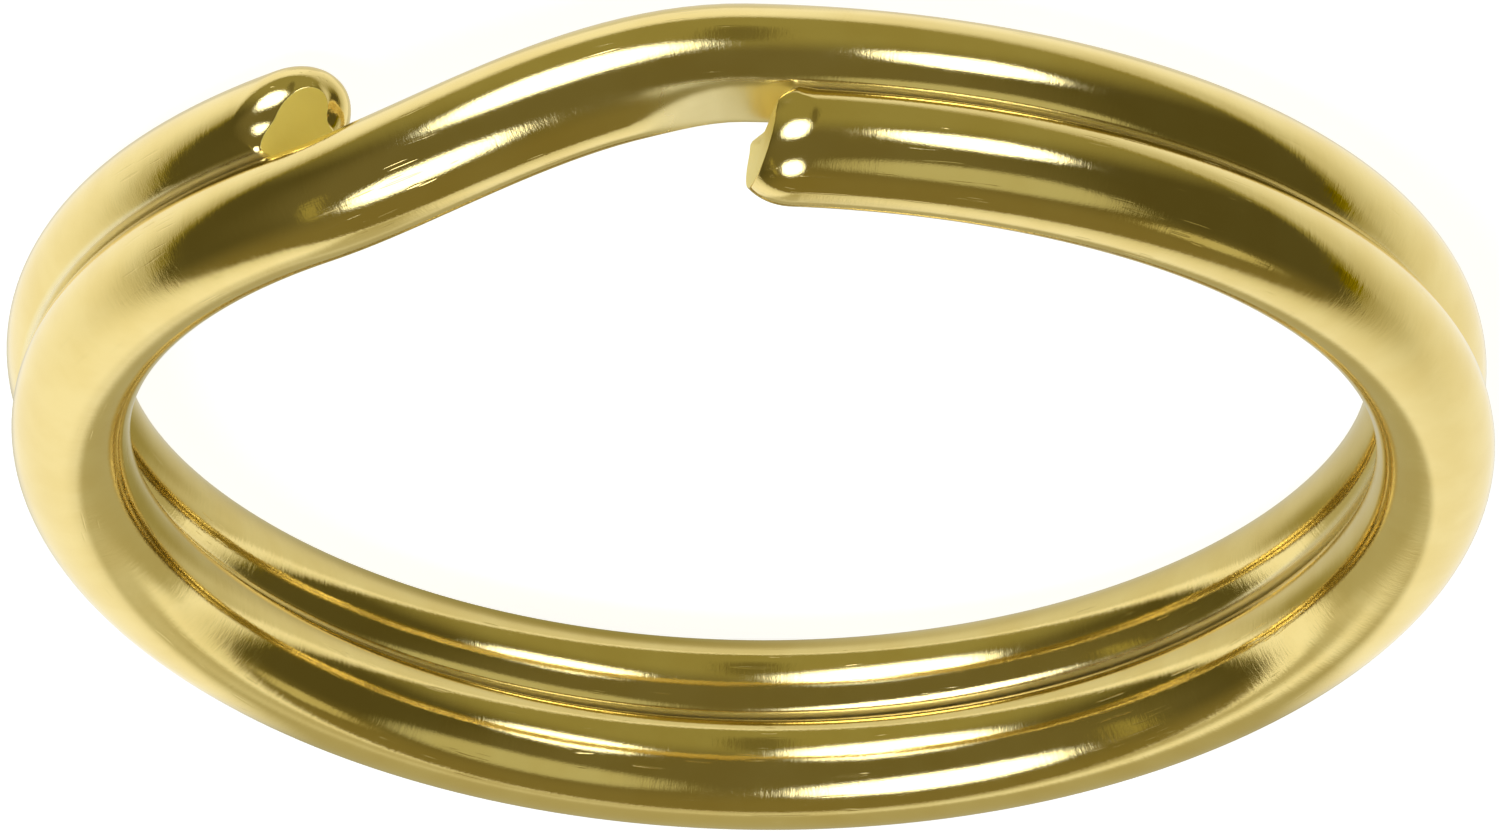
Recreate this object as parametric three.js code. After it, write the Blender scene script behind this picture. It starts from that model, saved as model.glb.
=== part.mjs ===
// Split key ring: one spring wire wound two turns, lying flat with its axis along +Z.
//
// The wire is followed by its turn angle, in degrees from the middle of the crossover bend.
// Negative turns run along the upper coil to its free end, positive turns along the lower one.
// The origin is at the middle of the ring, on the surface that it lies on. Millimetres, +Z up.
import * as THREE from 'three';

// Wire and ring
const OUTER_DIAMETER = 25;
const WIRE_DIAMETER = 2;
const COIL_OFFSET = 0.735; // wire centre to the plane between the coils
const COIL_GAP = 0.07; // air between the two flattened faces
const CORNER_BLEND = 0.15; // how softly the flattened face meets the round of the wire
const WARP = 0.2; // the sides of the ring lie this much low, the front and back this much high
const SIDE_SHIFT = 0.068; // the upper coil sits this much towards -X, the lower one towards +X

// Crossover bend and free ends, in degrees
const CROSSOVER_AZIMUTH = -70;
const CROSSOVER_SPAN = 39;
const UPPER_END = -339.2;
const LOWER_END = 342.5;
const CUT_LEAN_INWARD = 17; // each cut end reaches further on the ring's inner side
const CUT_LEAN_CROWN = 4; // and a little further on its round side than on its flat side

// Sections of the wire: the bend, then arcs that end where the spring wire twists
const BEND_REACH = 27;
const TWIST_TURNS = [90, 180, 270];
const SEAM = 0.1; // between the faces of neighbouring sections

// Facets
const SIDES = 20;
const STATION_STEP = 6;
const SHORTEST_STEP = 1.5;

const WIRE_RADIUS = WIRE_DIAMETER / 2;
const RING_RADIUS = (OUTER_DIAMETER - WIRE_DIAMETER) / 2;
const FLAT_DISTANCE = COIL_OFFSET - COIL_GAP / 2;
const FACET_RADIUS = WIRE_RADIUS / Math.cos(Math.PI / SIDES);
const SEAM_TURN = THREE.MathUtils.radToDeg(SEAM / 2 / RING_RADIUS);
const HALF_STEP = THREE.MathUtils.degToRad(STATION_STEP / 2);
const BASE_DEPTH = COIL_OFFSET + WIRE_RADIUS + WARP * Math.cos(2 * HALF_STEP);

// 1 on the upper coil, -1 on the lower one, and a smooth fall between them over the bend.
function level(turn) {
  return 1 - 2 * THREE.MathUtils.smoothstep(turn, -CROSSOVER_SPAN / 2, CROSSOVER_SPAN / 2);
}

function centre(turn) {
  const azimuth = THREE.MathUtils.degToRad(CROSSOVER_AZIMUTH - turn);
  const x = RING_RADIUS * Math.cos(azimuth) - SIDE_SHIFT * level(turn);
  const y = RING_RADIUS * Math.sin(azimuth);
  const z = COIL_OFFSET * level(turn) - WARP * Math.cos(2 * azimuth) + BASE_DEPTH;
  return new THREE.Vector3(x, y, z);
}

// Unit vectors along the wire, away from the ring's axis, and across both, close to +Z.
function directions(turn) {
  const nudge = 0.01;
  const along = centre(turn + nudge).sub(centre(turn - nudge)).normalize();
  const up = new THREE.Vector3(0, 0, 1);
  const outward = new THREE.Vector3().crossVectors(up, along).normalize();
  up.crossVectors(along, outward);
  return { along, outward, up };
}

function smoothMax(a, b, blend) {
  const overlap = Math.max(blend - Math.abs(a - b), 0) / blend;
  return Math.max(a, b) + (overlap * overlap * blend) / 4;
}

// Outline of the wire, as [outward, up] pairs. The side that faces the other coil is flattened,
// and the flat fades away as the wire climbs through the bend.
function outline(turn) {
  const height = level(turn);
  const fade = THREE.MathUtils.clamp((1 - Math.abs(height)) / 0.4, 0, 1);
  const flat = THREE.MathUtils.lerp(FLAT_DISTANCE, FACET_RADIUS + CORNER_BLEND, fade);
  const crownSide = height < 0 ? -1 : 1;
  const points = [];
  for (let i = 0; i < SIDES; i += 1) {
    const angle = ((i + 0.5) * 2 * Math.PI) / SIDES;
    const crown = smoothMax(FACET_RADIUS * Math.sin(angle) * crownSide, -flat, CORNER_BLEND);
    points.push([FACET_RADIUS * Math.cos(angle), crown * crownSide]);
  }
  return points;
}

// Turns at which the wire between two faces gets an outline. The even steps are centred on the
// X and Y axes, so the lowest and highest facets, at the sides of the ring, are level.
function stations(from, to) {
  const turns = [from];
  const first = CROSSOVER_AZIMUTH - STATION_STEP / 2;
  const start = Math.ceil((from + SHORTEST_STEP - first) / STATION_STEP) * STATION_STEP + first;
  for (let turn = start; turn < to - SHORTEST_STEP; turn += STATION_STEP) {
    turns.push(turn);
  }
  turns.push(to);
  return turns;
}

// How far a cut face leans along the wire at a point on the outline. Both free ends lean alike,
// seen from their own tips, and the upper coil's tip points back along the wire.
function cutLean(turn, outward, height) {
  if (turn !== UPPER_END && turn !== LOWER_END) return 0;
  const tipwards = turn === LOWER_END ? 1 : -1;
  const crown = -height * tipwards;
  const inwardSlope = Math.tan(THREE.MathUtils.degToRad(CUT_LEAN_INWARD));
  const crownSlope = Math.tan(THREE.MathUtils.degToRad(CUT_LEAN_CROWN));
  return tipwards * (crown * crownSlope - outward * inwardSlope);
}

// One closed solid: the wire from one turn angle to another.
function wireSolid(from, to) {
  const turns = stations(from, to);
  const vertices = [];
  for (const turn of turns) {
    const { along, outward, up } = directions(turn);
    for (const [out, height] of outline(turn)) {
      const point = centre(turn);
      point.addScaledVector(outward, out);
      point.addScaledVector(up, height);
      point.addScaledVector(along, cutLean(turn, out, height));
      vertices.push(point.x, point.y, point.z);
    }
  }
  const faces = [];
  for (let ring = 0; ring < turns.length - 1; ring += 1) {
    for (let i = 0; i < SIDES; i += 1) {
      const a = ring * SIDES + i;
      const b = ring * SIDES + ((i + 1) % SIDES);
      faces.push(a, b, a + SIDES, b, b + SIDES, a + SIDES);
    }
  }
  const last = (turns.length - 1) * SIDES;
  for (let i = 1; i < SIDES - 1; i += 1) {
    faces.push(0, i + 1, i);
    faces.push(last, last + i, last + i + 1);
  }
  const geometry = new THREE.BufferGeometry();
  geometry.setAttribute('position', new THREE.Float32BufferAttribute(vertices, 3));
  geometry.setIndex(faces);
  geometry.computeVertexNormals();
  return geometry;
}

function polishedGold() {
  return new THREE.MeshStandardMaterial({ color: 0xd6c07c, roughness: 0.12, metalness: 1 });
}

const ring = new THREE.Group();

function addSection(name, from, to) {
  const mesh = new THREE.Mesh(wireSolid(from, to), polishedGold());
  mesh.name = name;
  ring.add(mesh);
}

addSection('crossover_bend', -BEND_REACH + SEAM_TURN, BEND_REACH - SEAM_TURN);

const bounds = [BEND_REACH, ...TWIST_TURNS];
const arcNames = ['first_arc', 'second_arc', 'third_arc', 'free_end'];
arcNames.forEach((name, i) => {
  const isEnd = i === arcNames.length - 1;
  const near = bounds[i] + SEAM_TURN;
  const upperFar = isEnd ? UPPER_END : -bounds[i + 1] + SEAM_TURN;
  const lowerFar = isEnd ? LOWER_END : bounds[i + 1] - SEAM_TURN;
  addSection(`upper_coil_${name}`, upperFar, -near);
  addSection(`lower_coil_${name}`, near, lowerFar);
});

export default ring;
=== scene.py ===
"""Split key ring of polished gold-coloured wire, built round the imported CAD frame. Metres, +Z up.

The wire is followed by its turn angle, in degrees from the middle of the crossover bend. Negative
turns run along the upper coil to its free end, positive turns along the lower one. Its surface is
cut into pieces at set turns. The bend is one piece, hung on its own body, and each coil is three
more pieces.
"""

import math

import bpy
import numpy as np
from mathutils import Matrix, Vector


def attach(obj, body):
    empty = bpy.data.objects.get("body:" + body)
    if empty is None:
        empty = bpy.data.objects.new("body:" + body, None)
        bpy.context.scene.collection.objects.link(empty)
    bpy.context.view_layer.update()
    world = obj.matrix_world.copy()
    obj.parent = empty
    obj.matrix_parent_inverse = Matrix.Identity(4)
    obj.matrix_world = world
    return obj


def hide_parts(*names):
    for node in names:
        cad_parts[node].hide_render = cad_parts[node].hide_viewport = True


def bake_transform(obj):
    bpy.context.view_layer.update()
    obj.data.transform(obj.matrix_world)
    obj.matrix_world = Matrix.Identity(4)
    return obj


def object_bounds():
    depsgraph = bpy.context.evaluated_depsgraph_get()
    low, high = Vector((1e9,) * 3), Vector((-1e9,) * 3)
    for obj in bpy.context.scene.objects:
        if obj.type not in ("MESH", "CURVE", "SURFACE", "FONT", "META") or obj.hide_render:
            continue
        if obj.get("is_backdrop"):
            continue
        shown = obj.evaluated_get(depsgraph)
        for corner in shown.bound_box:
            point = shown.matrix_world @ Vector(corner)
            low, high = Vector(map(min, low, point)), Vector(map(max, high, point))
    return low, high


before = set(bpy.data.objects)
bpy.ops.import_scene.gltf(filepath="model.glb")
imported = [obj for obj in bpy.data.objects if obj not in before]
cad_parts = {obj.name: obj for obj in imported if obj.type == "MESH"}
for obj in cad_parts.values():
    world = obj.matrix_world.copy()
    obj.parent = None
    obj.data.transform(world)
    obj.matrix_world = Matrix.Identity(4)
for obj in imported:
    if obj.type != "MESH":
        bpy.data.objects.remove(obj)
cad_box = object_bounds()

MM = 0.001

# Wire and ring, as in the CAD part
OUTER_DIAMETER = 25 * MM
WIRE_DIAMETER = 2 * MM
COIL_OFFSET = 0.735 * MM
COIL_GAP = 0.016 * MM
CORNER_BLEND = 0.15 * MM
WARP = 0.2 * MM
SIDE_SHIFT = 0.068 * MM
CROSSOVER_AZIMUTH = -70
CROSSOVER_SPAN = 39
UPPER_END = -339.95
LOWER_END = 342.2

WIRE_RADIUS = WIRE_DIAMETER / 2
RING_RADIUS = (OUTER_DIAMETER - WIRE_DIAMETER) / 2
FLAT_DISTANCE = COIL_OFFSET - COIL_GAP / 2
FACET_HALF_STEP = math.radians(3)
BASE_DEPTH = COIL_OFFSET + WIRE_RADIUS + WARP * math.cos(2 * FACET_HALF_STEP)

# Cut ends. inward and crown are the degrees that the cut leans, so that the wire is longest on the
# side towards the ring's middle and on the round side. round and sweep are the radius and the
# degrees of the rounding before the edge, and far_round and far_sweep are the same on the far side.
# heel is how far the flat side is set back, burr the height of the ridge at its outer corner, and
# the last entry how much of a torn face's roughness the cut face takes, and how much of the yellower
# gold painted on it to stand for light bounced in the torn face.
UPPER_CUT = {"inward": 16, "crown": 7.5, "round": 1.0 * MM, "far_round": 1.3 * MM, "sweep": 38,
             "far_sweep": 38, "heel": 0.25 * MM, "burr": 0.04 * MM, "torn_and_bounce": 0.7}
LOWER_CUT = {"inward": 18, "crown": 34, "round": 0.9 * MM, "far_round": 1.1 * MM, "sweep": 42,
             "far_sweep": 80, "heel": 0.0, "burr": 0.0, "torn_and_bounce": 1.0}
CUT_EDGE_RADIUS = 0.045 * MM
FLAT_SIDE_ROUND = 0.1 * MM
BURR_REACH = 0.45 * MM
BURR_HALF_ANGLE = 12

# How many degrees of turn at each free end are shaped as a cut end
END_ZONE = 6.0

# Where in the wire's section the sharp rounding of the flat side starts and where the heel starts,
# as shares of the flat's distance, and the direction of the far side, mostly to the ring's middle
FLAT_SIDE_FROM = 0.3
HEEL_FROM = 0.65
FAR_OUTWARD = -0.8
FAR_CROWNWARD = 0.6

# The part of the level over which the flat fades out towards the bend
FLAT_FADE = 0.4

# How far round from the flat side the wire is dulled by pressing, and how far along it from the
# middle of the bend it starts to be covered by the other coil. Both zones are also painted a paler
# gold, a painted colour for the light bounced in the groove between the coils.
PRESSED_DEPTH = 0.11 * MM
TUCKED_FROM = 4.2 * MM
TUCKED_FADE = 1 * MM

# Fineness of the surface
SIDES = 96
STATION_STEP = 1.5
LEAD_RINGS = 13
ROUND_RINGS = 12
EDGE_RINGS = 5
FACE_RINGS = 18
SEAM_HAIRLINE = 0.0005

# Turns where the pieces meet
SEAM_TURNS = (45, 135, 225)


# ---------------------------------------------------------------- shape of the wire

def smoothstep(t):
    t = np.clip(t, 0, 1)
    return t * t * (3 - 2 * t)


def level(turn):
    """1 on the upper coil, -1 on the lower one, and a smooth fall between them over the bend."""
    return 1 - 2 * smoothstep(turn / CROSSOVER_SPAN + 0.5)


def centre(turn):
    azimuth = np.radians(CROSSOVER_AZIMUTH - turn)
    x = RING_RADIUS * np.cos(azimuth) - SIDE_SHIFT * level(turn)
    y = RING_RADIUS * np.sin(azimuth)
    z = COIL_OFFSET * level(turn) - WARP * np.cos(2 * azimuth) + BASE_DEPTH
    return np.stack([x, y, z], -1)


def unit(v):
    return v / np.linalg.norm(v, axis=-1, keepdims=True)


def directions(turn):
    """Unit vectors away from the ring's axis, and across the wire close to +Z."""
    nudge = 0.01
    along = unit(centre(turn + nudge) - centre(turn - nudge))
    outward = unit(np.cross([0.0, 0.0, 1.0], along))
    return outward, np.cross(along, outward)


def smooth_max(a, b, blend):
    overlap = np.maximum(blend - np.abs(a - b), 0) / blend
    return np.maximum(a, b) + overlap * overlap * blend / 4


def outline(turn, angle):
    """Outward and upward distance from the wire's centre. The side facing the other coil is flat."""
    height = level(turn)
    fade = np.clip((1 - np.abs(height)) / FLAT_FADE, 0, 1)
    flat = FLAT_DISTANCE + (WIRE_RADIUS + CORNER_BLEND - FLAT_DISTANCE) * fade
    crown_side = np.where(height < 0, -1.0, 1.0)
    crown = smooth_max(WIRE_RADIUS * np.sin(angle) * crown_side, -flat, CORNER_BLEND)
    return WIRE_RADIUS * np.cos(angle), crown * crown_side


def place(turn, out, up_height):
    outward, up = directions(turn)
    return centre(turn) + outward * out[..., None] + up * up_height[..., None]


def turn_of(length):
    return np.degrees(length / RING_RADIUS)


def flat_side_share(crown, start):
    """0 up to start of the way from the wire's centre to its flat side, and 1 on the flat side."""
    return smoothstep((-crown - start * FLAT_DISTANCE) / ((1 - start) * FLAT_DISTANCE))


def cut_end_rings(zone_start, end, cut, angle):
    """Rings from zone_start to the middle of the cut face: the last of the wire, where it is drawn
    in and its burr rises, then the crisp edge, and the leaning face itself."""
    tipwards = 1 if end > 0 else -1
    out, up_height = outline(np.full_like(angle, end), angle)
    crown = -up_height * tipwards
    half_width = np.hypot(out, up_height)
    flatness = flat_side_share(crown, FLAT_SIDE_FROM)
    farness = (FAR_CROWNWARD * crown + FAR_OUTWARD * out) / WIRE_RADIUS
    far_side = smoothstep(0.5 + 0.5 * farness)
    rounding = cut["round"] + (cut["far_round"] - cut["round"]) * far_side
    rounding = rounding + (FLAT_SIDE_ROUND - rounding) * flatness
    corner = math.atan2(-FLAT_DISTANCE, math.sqrt(WIRE_RADIUS ** 2 - FLAT_DISTANCE ** 2))
    from_corner = (np.arctan2(crown, out) - corner) / math.radians(BURR_HALF_ANGLE)
    burr = cut["burr"] * np.exp(-from_corner ** 2)
    heel = cut["heel"] * flat_side_share(crown, HEEL_FROM)
    inward = math.tan(math.radians(cut["inward"]))
    crownward = math.tan(math.radians(cut["crown"]))
    sweep = np.radians(cut["sweep"] + (cut["far_sweep"] - cut["sweep"]) * far_side)

    def ring(inset, left):
        """left is how much wire is still to come before the plane of the cut."""
        scale = 1 - inset / half_width
        risen = scale + burr * smoothstep(1 - left / BURR_REACH) / half_width
        lean = scale * (crown * crownward - out * inward) - heel
        return end + turn_of(lean - left) * tipwards, out * risen, up_height * risen

    rings = []
    edge = CUT_EDGE_RADIUS * (1 - np.sin(sweep))
    full = rounding * np.sin(sweep) + edge
    far_back = math.radians(abs(end - zone_start)) * RING_RADIUS
    lean_here = crown * crownward - out * inward - heel
    for share in np.linspace(0, 1, LEAD_RINGS, endpoint=False):
        rings.append(ring(np.zeros_like(out), (far_back + lean_here) * (1 - share) + full * share))
    for step in range(ROUND_RINGS + 1):
        bend = sweep * step / ROUND_RINGS
        rings.append(ring(rounding * (1 - np.cos(bend)),
                          rounding * (np.sin(sweep) - np.sin(bend)) + edge))
    drawn_in = rounding * (1 - np.cos(sweep))
    for step in range(1, EDGE_RINGS + 1):
        bend = sweep + (math.pi / 2 - sweep) * step / EDGE_RINGS
        rings.append(ring(drawn_in + CUT_EDGE_RADIUS * (np.cos(sweep) - np.cos(bend)),
                          CUT_EDGE_RADIUS * (1 - np.sin(bend))))
    rim = rings[-1]
    for step in range(1, FACE_RINGS):
        share = step / FACE_RINGS
        rings.append((rim[0] + (end - rim[0]) * share, rim[1] * (1 - share), rim[2] * (1 - share)))
    return rings


def body_rings(start, stop, angle):
    count = max(2, int(round(abs(stop - start) / STATION_STEP)) + 1)
    rings = []
    for turn in np.linspace(start, stop, count):
        turns = np.full_like(angle, turn)
        rings.append((turns, *outline(turns, angle)))
    return rings


# ---------------------------------------------------------------- meshes

def vertex_normals(points, quads):
    a, b, c, d = (points[quads[:, i]] for i in range(4))
    face_normals = unit(np.cross(c - a, d - b))
    normals = np.zeros_like(points)
    for i in range(4):
        np.add.at(normals, quads[:, i], face_normals)
    return unit(normals)


def quads_between(ring_count):
    ring, side = np.meshgrid(np.arange(ring_count - 1), np.arange(SIDES), indexing="ij")
    a = (ring * SIDES + side).ravel()
    b = (ring * SIDES + (side + 1) % SIDES).ravel()
    return np.stack([a, b, b + SIDES, a + SIDES], 1)


def wire_piece(name, start, stop):
    """One closed mesh of the wire from start to stop turn, start before stop. A start or stop at a
    free end gets its cut face. The other ends are seams, where the normals run on unbroken."""
    angle = (np.arange(SIDES) + 0.5) * 2 * math.pi / SIDES
    starts_cut = start == UPPER_END
    stops_cut = stop == LOWER_END
    first = start + END_ZONE if starts_cut else start + SEAM_HAIRLINE
    last = stop - END_ZONE if stops_cut else stop - SEAM_HAIRLINE
    rings = body_rings(first, last, angle)
    if starts_cut:
        rings = cut_end_rings(first, start, UPPER_CUT, angle)[::-1][:-1] + rings
    if stops_cut:
        rings = rings[:-1] + cut_end_rings(last, stop, LOWER_CUT, angle)
    extended = list(rings)
    lead = 0
    if not starts_cut:
        beyond = np.full_like(angle, first - STATION_STEP)
        extended.insert(0, (beyond, *outline(beyond, angle)))
        lead = 1
    if not stops_cut:
        beyond = np.full_like(angle, last + STATION_STEP)
        extended.append((beyond, *outline(beyond, angle)))

    turns = np.concatenate([ring[0] for ring in extended])
    outs = np.concatenate([ring[1] for ring in extended])
    ups = np.concatenate([ring[2] for ring in extended])
    points = place(turns, outs, ups)
    normals = vertex_normals(points, quads_between(len(extended)))
    keep = slice(lead * SIDES, (lead + len(rings)) * SIDES)
    points, normals = points[keep], normals[keep]
    wire_space = np.stack([outs, ups, np.radians(turns) * RING_RADIUS], 1)[keep]
    height = level(turns[keep])
    # The flat side towards the other coil: rougher from pressing, and painted a paler gold for light
    # bounced in the groove
    pressed_and_bounce = smoothstep((-ups[keep] * np.sign(height) - FLAT_DISTANCE) / PRESSED_DEPTH + 1)
    pressed_and_bounce = pressed_and_bounce * smoothstep((np.abs(height) - (1 - FLAT_FADE)) / FLAT_FADE)
    on_face = np.zeros(len(points))
    face_count = (FACE_RINGS + EDGE_RINGS // 2) * SIDES
    if starts_cut:
        on_face[:face_count] = 1
    if stops_cut:
        on_face[-face_count:] = 1

    faces = quads_between(len(rings)).tolist()
    loop_normals = normals[np.array(faces).ravel()]
    first_ring = np.arange(SIDES)
    last_ring = (len(rings) - 1) * SIDES + np.arange(SIDES)
    extra_points, extra_space, cap_normals = [], [], []
    for ring_ids, outwards in ((first_ring[::-1], -1), (last_ring, 1)):
        middle = points[ring_ids].mean(0)
        is_cut = starts_cut if outwards < 0 else stops_cut
        hub = len(points) + len(extra_points)
        extra_points.append(middle)
        extra_space.append(wire_space[ring_ids].mean(0))
        spokes = np.stack([ring_ids, np.roll(ring_ids, -1), np.full(SIDES, hub)], 1)
        faces += spokes.tolist()
        a, b = points[spokes[:, 0]], points[spokes[:, 1]]
        flat_normal = unit(np.cross(b - a, middle - a).sum(0))
        if is_cut:
            corner = np.stack([normals[spokes[:, 0]], normals[spokes[:, 1]],
                               np.tile(flat_normal, (SIDES, 1))], 1)
            cap_normals.append(corner.reshape(-1, 3))
        else:
            cap_normals.append(np.tile(flat_normal, (3 * SIDES, 1)))
    points = np.concatenate([points, extra_points])
    wire_space = np.concatenate([wire_space, extra_space])
    on_face = np.concatenate([on_face, [float(starts_cut), float(stops_cut)]])
    pressed_and_bounce = np.concatenate([pressed_and_bounce, [0.0, 0.0]]) * (1 - on_face)
    # Where the flat side lies under the other coil; used only to paint a paler gold for light
    # bounced in the groove
    tucked_bounce = pressed_and_bounce * smoothstep((np.abs(wire_space[:, 2]) - TUCKED_FROM) / TUCKED_FADE)
    # The cut faces: rougher and torn, and painted a yellower gold to stand for light bounced in the
    # torn face
    torn_and_bounce = on_face * (UPPER_CUT["torn_and_bounce"] if starts_cut else LOWER_CUT["torn_and_bounce"])
    loop_normals = np.concatenate([loop_normals, *cap_normals])

    mesh = bpy.data.meshes.new(name)
    mesh.from_pydata(points.tolist(), [], faces)
    attribute = mesh.attributes.new("wire_space", "FLOAT_VECTOR", "POINT")
    attribute.data.foreach_set("vector", wire_space.astype(np.float32).ravel())
    for label, values in (("torn_and_bounce", torn_and_bounce), ("pressed_and_bounce", pressed_and_bounce), ("tucked_bounce", tucked_bounce)):
        attribute = mesh.attributes.new(label, "FLOAT", "POINT")
        attribute.data.foreach_set("value", values.astype(np.float32))
    mesh.polygons.foreach_set("use_smooth", [True] * len(mesh.polygons))
    mesh.normals_split_custom_set(loop_normals.tolist())
    mesh.update()
    piece = bpy.data.objects.new(name, mesh)
    bpy.context.scene.collection.objects.link(piece)
    return piece


# ---------------------------------------------------------------- nodes

class Graph:
    """A node tree built up by short calls. All but node and feed return an output socket."""

    def __init__(self, tree):
        self.tree = tree
        tree.nodes.clear()

    def node(self, kind, **settings):
        made = self.tree.nodes.new(kind)
        for key, value in settings.items():
            setattr(made, key, value)
        return made

    def feed(self, socket, value):
        if isinstance(value, bpy.types.NodeSocket):
            self.tree.links.new(value, socket)
        else:
            socket.default_value = value

    def maths(self, operation, *values):
        made = self.node("ShaderNodeMath", operation=operation)
        for socket, value in zip(made.inputs, values):
            self.feed(socket, value)
        return made.outputs[0]

    def dot(self, vector, direction):
        made = self.node("ShaderNodeVectorMath", operation="DOT_PRODUCT")
        self.feed(made.inputs[0], vector)
        self.feed(made.inputs[1], tuple(direction))
        return made.outputs["Value"]

    def ramp(self, value, low, high, to_low=0.0, to_high=1.0, smooth=True):
        kind = "SMOOTHSTEP" if smooth else "LINEAR"
        made = self.node("ShaderNodeMapRange", interpolation_type=kind, clamp=True)
        for key, item in (("Value", value), ("From Min", low), ("From Max", high),
                          ("To Min", to_low), ("To Max", to_high)):
            self.feed(made.inputs[key], item)
        return made.outputs[0]

    def mix(self, share, first, second):
        made = self.node("ShaderNodeMix", data_type="RGBA")
        self.feed(made.inputs["Factor"], share)
        self.feed(made.inputs["A"], first)
        self.feed(made.inputs["B"], second)
        return made.outputs["Result"]

    def noise(self, vector, scale, detail=2.0, roughness=0.5):
        made = self.node("ShaderNodeTexNoise")
        self.feed(made.inputs["Vector"], vector)
        for key, item in (("Scale", scale), ("Detail", detail), ("Roughness", roughness)):
            self.feed(made.inputs[key], item)
        return made.outputs["Fac"]

    def mapped(self, vector, scale=(1, 1, 1), rotation=(0, 0, 0), location=(0, 0, 0)):
        made = self.node("ShaderNodeMapping")
        self.feed(made.inputs["Vector"], vector)
        made.inputs["Scale"].default_value = scale
        made.inputs["Rotation"].default_value = [math.radians(x) for x in rotation]
        made.inputs["Location"].default_value = location
        return made.outputs[0]


# ---------------------------------------------------------------- materials

# Depths of the marks in the plating, in millimetres
WAVE_HEIGHT = 0.0022
HAIR_HEIGHT = 0.0008
WIDE_HAIR_HEIGHT = 1.1 * HAIR_HEIGHT
GRAIN_HEIGHT = 0.0009
SCRATCH_DEPTH = 0.0017
TEAR_HEIGHT = 0.003

# Share of the hairlines' height that is there where the plating isn't rubbed
UNRUBBED_SHARE = 0.4

# Roughness of the clean metal, and what a scratch, a torn face and pressing add to it
SMOOTHEST = 0.05
DULLEST = 0.12
SCRATCH_ROUGHNESS = 0.1
TORN_ROUGHNESS = 0.5
PRESSED_ROUGHNESS = 0.3

# Colours of the metal. The torn, pressed and tucked golds are painted light: colours that stand in
# for light bounced on the cut faces and in the groove between the coils.
LIGHT_GOLD = (0.90, 0.735, 0.31, 1)
DEEP_GOLD = (0.86, 0.685, 0.265, 1)
TORN_FACE_BOUNCE_GOLD = (1.0, 0.87, 0.27, 1)
PRESSED_BOUNCE_GOLD = (0.94, 0.82, 0.44, 1)
TUCKED_BOUNCE_GOLD = (0.90, 0.82, 0.54, 1)

# The families of scratches, which all run along the wire: how many degrees the noise of each is
# turned, which only keeps them from repeating each other, and the share of its fineness that it
# keeps along the wire
SCRATCH_FAMILIES = ((68, 0.05), (-57, 0.07), (84, 0.06), (25, 0.05))


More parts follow.
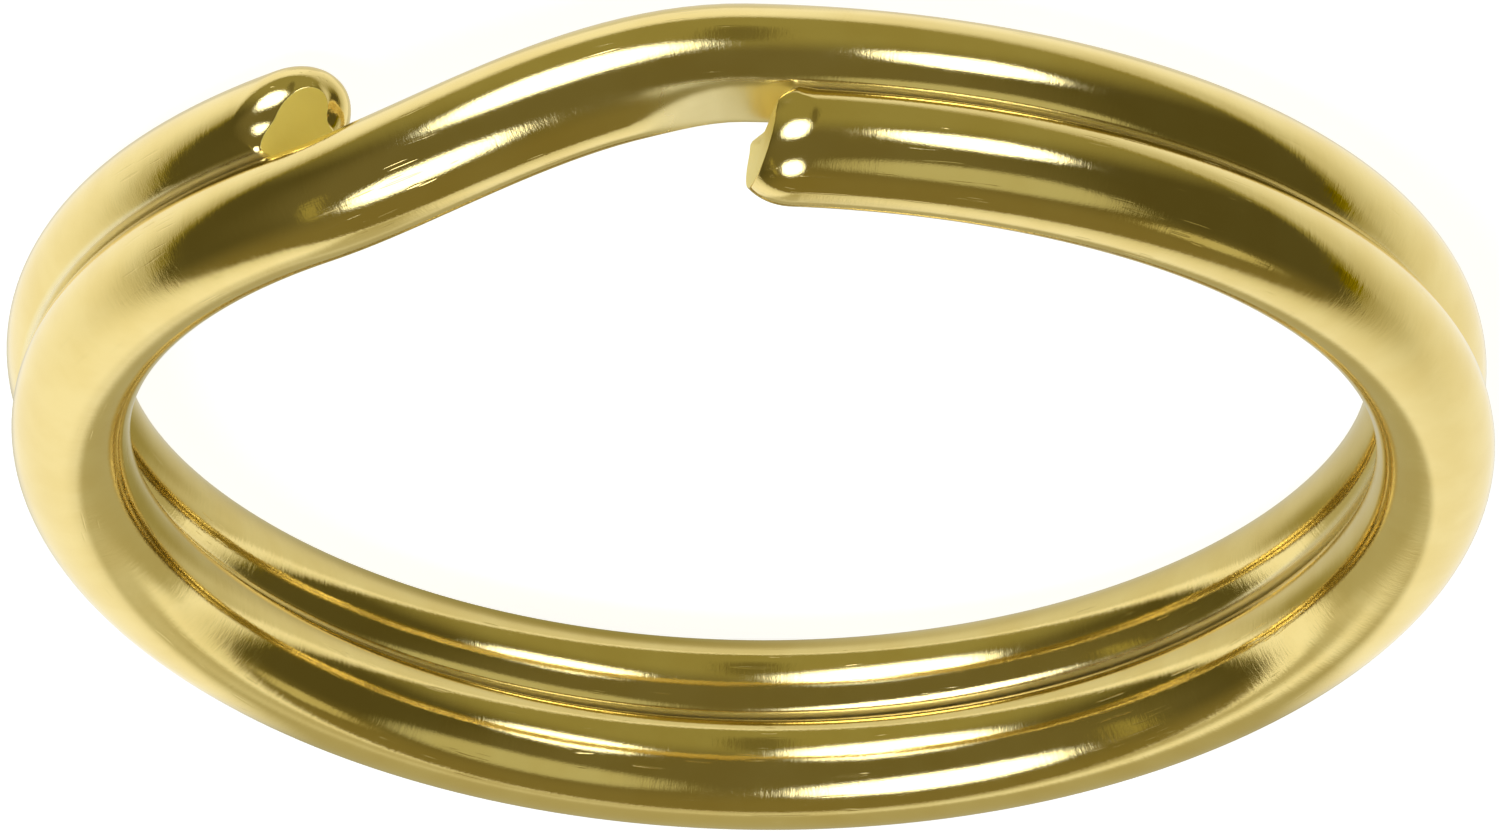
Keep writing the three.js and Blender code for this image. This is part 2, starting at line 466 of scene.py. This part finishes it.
def polished_gold():
    """Bright drawn wire, tumbled and plated: a mirror with hairline scratches and small dents,
    duller where it was pressed or cut. The cut faces are painted a yellower gold and the groove
    between the coils a paler gold, as painted light bounced in them. Noise scales are counts per
    metre of wire."""
    material = bpy.data.materials.new("polished_gold")
    material.use_nodes = True
    g = Graph(material.node_tree)
    wire = g.node("ShaderNodeAttribute", attribute_name="wire_space").outputs["Vector"]
    torn_and_bounce = g.node("ShaderNodeAttribute", attribute_name="torn_and_bounce").outputs["Fac"]
    pressed_and_bounce = g.node("ShaderNodeAttribute", attribute_name="pressed_and_bounce").outputs["Fac"]
    tucked_bounce = g.node("ShaderNodeAttribute", attribute_name="tucked_bounce").outputs["Fac"]

    tone = g.noise(wire, scale=900, detail=3)
    colour = g.mix(g.ramp(tone, low=0.3, high=0.7), LIGHT_GOLD, DEEP_GOLD)
    # Painted light: the cut faces get a yellower gold that stands for light bounced in the torn face
    colour = g.mix(torn_and_bounce, colour, TORN_FACE_BOUNCE_GOLD)
    # Painted light: the flat sides in the groove get paler golds that stand for light bounced
    # between the coils
    colour = g.mix(pressed_and_bounce, colour, PRESSED_BOUNCE_GOLD)
    colour = g.mix(tucked_bounce, colour, TUCKED_BOUNCE_GOLD)

    waves = g.noise(wire, scale=1500, detail=2, roughness=0.45)
    cloud = g.noise(g.mapped(wire, location=(0.01, 0, 0)), scale=2600, detail=3, roughness=0.6)
    brushed = g.noise(g.mapped(wire, scale=(0.16, 0.16, 1)), scale=34000, detail=1)
    stretched = g.mapped(wire, scale=(0.2, 0.2, 1), rotation=(9, -6, 0))
    brushed_wide = g.noise(stretched, scale=13000, detail=1)
    grain = g.noise(wire, scale=38000, detail=2)
    scratches = None
    for i, (turned, fineness) in enumerate(SCRATCH_FAMILIES):
        drawn_out = g.mapped(wire, scale=(1, 1, fineness), rotation=(turned, turned * 0.7, 0),
                             location=(0.013 * i, 0.007 * i, 0.003))
        hair = g.ramp(g.noise(drawn_out, scale=12000, detail=1), low=0.70, high=0.76)
        scratches = hair if scratches is None else g.maths("MAXIMUM", scratches, hair)
    worn = g.ramp(g.noise(wire, scale=700, detail=2), low=0.5, high=0.62)
    scratches = g.maths("MULTIPLY", scratches, worn)
    rubbed = g.ramp(cloud, low=0.35, high=0.7)

    height = g.maths("MULTIPLY", waves, WAVE_HEIGHT)
    hair_height = g.maths("MULTIPLY_ADD", rubbed, (1 - UNRUBBED_SHARE) * HAIR_HEIGHT,
                          UNRUBBED_SHARE * HAIR_HEIGHT)
    height = g.maths("MULTIPLY_ADD", brushed, hair_height, height)
    height = g.maths("MULTIPLY_ADD", brushed_wide, WIDE_HAIR_HEIGHT, height)
    height = g.maths("MULTIPLY_ADD", grain, GRAIN_HEIGHT, height)
    height = g.maths("MULTIPLY_ADD", scratches, -SCRATCH_DEPTH, height)
    tears = g.noise(g.mapped(wire, scale=(1, 0.3, 1)), scale=9000, detail=3)
    height = g.maths("MULTIPLY_ADD", g.maths("MULTIPLY", tears, torn_and_bounce), TEAR_HEIGHT, height)
    bump = g.node("ShaderNodeBump")
    bump.inputs["Strength"].default_value = 1.0
    bump.inputs["Distance"].default_value = 1.0 * MM
    g.feed(bump.inputs["Height"], height)

    rough = g.ramp(cloud, low=0.25, high=0.75, to_low=SMOOTHEST, to_high=DULLEST, smooth=False)
    rough = g.maths("MULTIPLY_ADD", scratches, SCRATCH_ROUGHNESS, rough)
    rough = g.maths("MULTIPLY_ADD", torn_and_bounce, TORN_ROUGHNESS, rough)
    rough = g.maths("MULTIPLY_ADD", pressed_and_bounce, PRESSED_ROUGHNESS, rough)

    shader = g.node("ShaderNodeBsdfPrincipled")
    shader.inputs["Metallic"].default_value = 1.0
    g.feed(shader.inputs["Base Color"], colour)
    g.feed(shader.inputs["Roughness"], rough)
    g.feed(shader.inputs["Normal"], bump.outputs[0])
    output = g.node("ShaderNodeOutputMaterial")
    g.feed(output.inputs["Surface"], shader.outputs[0])
    return material


def pale_floor_paint():
    """Matt pale grey that also gives off light, to be as white as the photo's background."""
    material = bpy.data.materials.new("pale_floor")
    material.use_nodes = True
    g = Graph(material.node_tree)
    where = g.node("ShaderNodeTexCoord").outputs["Object"]
    grain = g.noise(where, scale=60, detail=3)
    darker = (0.52, 0.53, 0.56, 1)
    lighter = (0.56, 0.57, 0.6, 1)
    colour = g.mix(grain, darker, lighter)
    shader = g.node("ShaderNodeBsdfPrincipled")
    g.feed(shader.inputs["Base Color"], colour)
    shader.inputs["Roughness"].default_value = 0.8
    shader.inputs["Emission Color"].default_value = (0.98, 0.99, 1, 1)
    shader.inputs["Emission Strength"].default_value = 0.88
    output = g.node("ShaderNodeOutputMaterial")
    g.feed(output.inputs["Surface"], shader.outputs[0])
    return material


# ---------------------------------------------------------------- studio

# The camera looks down at the ring's front from this angle, and is held upside down. The aim is how
# far off the ring's middle it points.
VIEW_ELEVATION = 27.55
VIEW_ROLL = -1.065
VIEW_DISTANCE = 24.944 * RING_RADIUS
RADIUS_OVER_PICTURE_WIDTH = 0.45433
SIDEWAYS_AIM = -0.0084 * MM
UPWARDS_AIM = 0.0726 * MM


def view_axes():
    """World directions that are right, up and towards the viewer in the main picture."""
    lift = math.radians(VIEW_ELEVATION)
    right = Vector((-1, 0, 0))
    up = Vector((0, -math.sin(lift), -math.cos(lift)))
    back = Vector((0, -math.cos(lift), math.sin(lift)))
    roll = math.radians(VIEW_ROLL)
    return (right * math.cos(roll) - up * math.sin(roll),
            right * math.sin(roll) + up * math.cos(roll), back)


def make_camera():
    right, up, back = view_axes()
    data = bpy.data.cameras.new("camera")
    data.sensor_fit = "HORIZONTAL"
    data.sensor_width = 36
    data.lens = data.sensor_width * RADIUS_OVER_PICTURE_WIDTH * VIEW_DISTANCE / RING_RADIUS
    data.clip_start = 0.01
    data.clip_end = 10
    camera = bpy.data.objects.new("camera", data)
    target = Vector((0, 0, BASE_DEPTH)) - right * SIDEWAYS_AIM + up * UPWARDS_AIM
    turned = Matrix((right, up, back)).transposed().to_4x4()
    camera.matrix_world = Matrix.Translation(target + back * VIEW_DISTANCE) @ turned
    bpy.context.scene.collection.objects.link(camera)
    bpy.context.scene.camera = camera


def studio_direction(longitude, latitude):
    """World direction of a place round the ring, in degrees right of and above the viewer."""
    right, up, back = view_axes()
    lon, lat = math.radians(longitude), math.radians(latitude)
    flat = right * math.sin(lon) + back * math.cos(lon)
    return flat * math.cos(lat) + up * math.sin(lat)


def softbox(g, ray, longitude, latitude, half_width, half_height, edges):
    """For each of the edges, 1 inside a rounded rectangle of light seen in that direction and 0
    outside. Angles are in degrees, and an edge is where the light ends and where it is full, as
    shares of the way from the middle to the rim, raised to the rectangle's own power."""
    facing = studio_direction(longitude, latitude)
    up = studio_direction(longitude, latitude + 90)
    side = up.cross(facing)
    ahead = g.dot(ray, facing)
    safe = g.maths("MAXIMUM", ahead, 0.01)
    across = g.maths("DIVIDE", g.dot(ray, side), safe)
    over = g.maths("DIVIDE", g.dot(ray, up), safe)
    a = g.maths("DIVIDE", g.maths("ABSOLUTE", across), math.tan(math.radians(half_width)))
    b = g.maths("DIVIDE", g.maths("ABSOLUTE", over), math.tan(math.radians(half_height)))
    corner = 2.35
    reach = g.maths("ADD", g.maths("POWER", a, corner), g.maths("POWER", b, corner))
    in_front = g.ramp(ahead, low=0.02, high=0.1)
    return [g.maths("MULTIPLY", g.ramp(reach, *edge), in_front) for edge in edges]


def make_studio_light():
    """A dark room in front of the ring, paler above and below, with a shade over the camera, three
    bright softboxes and three dim panels. Each lamp is its longitude, latitude, half width and half
    height in degrees."""
    world = bpy.data.worlds.new("studio")
    bpy.context.scene.world = world
    world.use_nodes = True
    g = Graph(world.node_tree)
    ray = g.node("ShaderNodeTexCoord").outputs["Generated"]
    height = g.dot(ray, view_axes()[1])

    dark = (0.095, 0.083, 0.029, 1)
    room = (0.165, 0.145, 0.064, 1)
    above = (0.315, 0.29, 0.118, 1)
    below = (0.22, 0.185, 0.07, 1)
    camera_shade = (0.17, 0.15, 0.058, 1)
    towards_room = g.dot(ray, studio_direction(-14, -5))
    colour = g.mix(g.ramp(towards_room, low=0.3, high=0.8), dark, room)
    colour = g.mix(g.ramp(height, low=0.38, high=0.86), colour, above)
    colour = g.mix(g.ramp(height, low=-0.5, high=-0.95), colour, below)
    shade_edge = (1.8, 0.2)
    shade = softbox(g, ray, -2, 60, 5, 17, [shade_edge])[0]
    colour = g.mix(shade, colour, camera_shade)

    core = (4.0, 4.0, 4.0, 1)
    core_edge = (0.95, 0.35)
    surround = (0.84, 0.93, 1.2, 1)
    surround_edge = (1.3, 0.8)
    for lamp in ((-31, 35.5, 20.5, 18), (37, 27, 15.5, 13), (-28, -38, 17, 17)):
        lit, full = softbox(g, ray, *lamp, [surround_edge, core_edge])
        colour = g.mix(full, g.mix(lit, colour, surround), core)
    panel_edge = (1.7, 0.4)
    for panel, light in (((31.5, -32.5, 18, 16), (0.52, 0.51, 0.34, 1)),
                         ((72.5, -50, 7, 6), (0.54, 0.50, 0.28, 1)),
                         ((-60, -29, 2.5, 16), (0.34, 0.30, 0.10, 1))):
        colour = g.mix(softbox(g, ray, *panel, [panel_edge])[0], colour, light)

    background = g.node("ShaderNodeBackground")
    g.feed(background.inputs["Color"], colour)
    output = g.node("ShaderNodeOutputWorld")
    g.feed(output.inputs["Surface"], background.outputs[0])


def band(g, value, middle, half, soft):
    """1 within half of middle, fading to 0 over soft."""
    away = g.maths("ABSOLUTE", g.maths("SUBTRACT", value, middle))
    return g.ramp(away, half + soft, half - soft)


def sheet_paint():
    """White paper lit from all sides, brightest behind the ring, duller far to the sides and above,
    and shaded in zones round the ring. Places are in millimetres right of and above the ring's
    middle, and glow is 0 for the shaded paper's colour and 1 for the lit paper's."""
    material = bpy.data.materials.new("reflector_sheet")
    material.use_nodes = True
    g = Graph(material.node_tree)
    place_on_sheet = g.node("ShaderNodeSeparateXYZ")
    g.feed(place_on_sheet.inputs[0], g.node("ShaderNodeTexCoord").outputs["Object"])
    x, y = place_on_sheet.outputs[0], place_on_sheet.outputs[1]

    brightest_at = -10.0
    aside = g.maths("ABSOLUTE", g.maths("SUBTRACT", x, brightest_at))
    near_fall = g.ramp(aside, low=12, high=98, to_low=1.2, to_high=0.5)
    far_fall = g.ramp(aside, low=85, high=190, to_low=0.0, to_high=-0.55)
    glow = g.maths("ADD", near_fall, far_fall)
    right = g.ramp(x, low=0, high=12)
    for sideways, upwards, added in ((g.ramp(x, low=40, high=90), g.ramp(y, low=-10, high=45), 0.2),
                                     (right, g.ramp(y, low=-8, high=-32), -0.16),
                                     (right, g.ramp(y, low=28, high=48), -0.14)):
        there = g.maths("MULTIPLY", sideways, upwards)
        glow = g.maths("MULTIPLY_ADD", there, added, glow)
    glow = g.maths("MULTIPLY", glow, g.ramp(y, low=75, high=220, to_low=1.0, to_high=0.5))
    level_under = g.ramp(y, low=-4, high=6, to_low=0.5, to_high=0.74)
    for (middle_x, half_x, soft_x), (middle_y, half_y, soft_y), value in (
            ((-4.5, 7.5, 2.5), (22, 11, 3), 0.76),
            ((-0.8, 15.2, 2), (9, 12, 3), level_under),
            ((0.8, 10.2, 1.5), (-10.5, 8.5, 3.5), 0.28),
            ((-5, 6.5, 4), (-42, 24, 8), 0.4),
            ((-3.5, 4.2, 3), (-3.2, 3.2, 2.5), 0.08)):
        there = g.maths("MULTIPLY", band(g, x, middle_x, half_x, soft_x),
                        band(g, y, middle_y, half_y, soft_y))
        unshaded = g.maths("MULTIPLY", glow, g.maths("SUBTRACT", 1.0, there))
        glow = g.maths("ADD", unshaded, g.maths("MULTIPLY", there, value))
    glow = g.maths("MULTIPLY", glow, g.ramp(y, low=-30, high=-75, to_low=1.0, to_high=0.66))
    shaded_paper = (0.28, 0.245, 0.06, 1)
    lit_paper = (0.91, 0.90, 0.85, 1)
    colour = g.node("ShaderNodeMix", data_type="RGBA")
    colour.clamp_factor = False
    g.feed(colour.inputs["Factor"], glow)
    g.feed(colour.inputs["A"], shaded_paper)
    g.feed(colour.inputs["B"], lit_paper)
    emission = g.node("ShaderNodeEmission")
    g.feed(emission.inputs["Color"], colour.outputs["Result"])
    output = g.node("ShaderNodeOutputMaterial")
    g.feed(output.inputs["Surface"], emission.outputs[0])
    return material


def make_reflector_sheet():
    """A sheet of paper close behind the ring, sized in millimetres. Only the metal sees it."""
    half = 240.0
    below = 75.0
    above = 260.0
    behind = 12.2
    tilt = -0.1
    right, up, back = view_axes()
    mesh = bpy.data.meshes.new("reflector_sheet")
    corners = [(-half, -below, 0), (half, -below, 0), (half, above, 0), (-half, above, 0)]
    mesh.from_pydata(corners, [], [(0, 1, 2, 3)])
    mesh.materials.append(sheet_paint())
    sheet = bpy.data.objects.new("reflector_sheet", mesh)
    bpy.context.scene.collection.objects.link(sheet)
    sheet_up = (up + back * tilt).normalized()
    turned = Matrix((right, sheet_up, right.cross(sheet_up))).transposed().to_4x4()
    middle = Vector((0, 0, BASE_DEPTH)) - back * behind * MM
    sheet.matrix_world = Matrix.Translation(middle) @ turned @ Matrix.Scale(MM, 4)
    sheet.visible_camera = False
    sheet.visible_diffuse = False
    sheet.visible_shadow = False
    sheet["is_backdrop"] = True


def make_floor(top):
    """A pale floor, six metres square, that the metal doesn't see."""
    half = 3.0
    mesh = bpy.data.meshes.new("floor")
    corners = [(-half, -half, top), (half, -half, top), (half, half, top), (-half, half, top)]
    mesh.from_pydata(corners, [], [(0, 1, 2, 3)])
    mesh.materials.append(pale_floor_paint())
    floor = bpy.data.objects.new("floor", mesh)
    bpy.context.scene.collection.objects.link(floor)
    floor.visible_glossy = False
    floor.visible_shadow = False
    floor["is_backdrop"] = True


# ---------------------------------------------------------------- the ring

def coil_pieces(coil, sign, end, nodes, paint):
    """The three stretches of one coil, from the crossover to the free end."""
    seams = [*SEAM_TURNS, abs(end)]
    for i, name in enumerate(("near_bend", "far_side", "end")):
        near, far = sign * seams[i], sign * seams[i + 1]
        if i == 2:
            far = end
        piece = wire_piece(f"{coil}_coil_{name}", min(near, far), max(near, far))
        piece.data.materials.append(paint)
        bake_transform(piece)
        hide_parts(*nodes[i])


make_camera()
make_studio_light()
make_reflector_sheet()
gold = polished_gold()

bend = wire_piece("crossover", -SEAM_TURNS[0], SEAM_TURNS[0])
bend.data.materials.append(gold)
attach(bend, "crossover")
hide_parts("crossover_bend")

for coil, sign, end in (("upper", -1, UPPER_END), ("lower", 1, LOWER_END)):
    node_names = [(f"{coil}_coil_first_arc",), (f"{coil}_coil_second_arc",),
                  (f"{coil}_coil_third_arc", f"{coil}_coil_free_end")]
    coil_pieces(coil, sign, end, node_names, gold)

floor_clearance = 0.002 * MM
make_floor(min(cad_box[0].z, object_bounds()[0].z) - floor_clearance)
bpy.context.scene.view_settings.view_transform = "Standard"
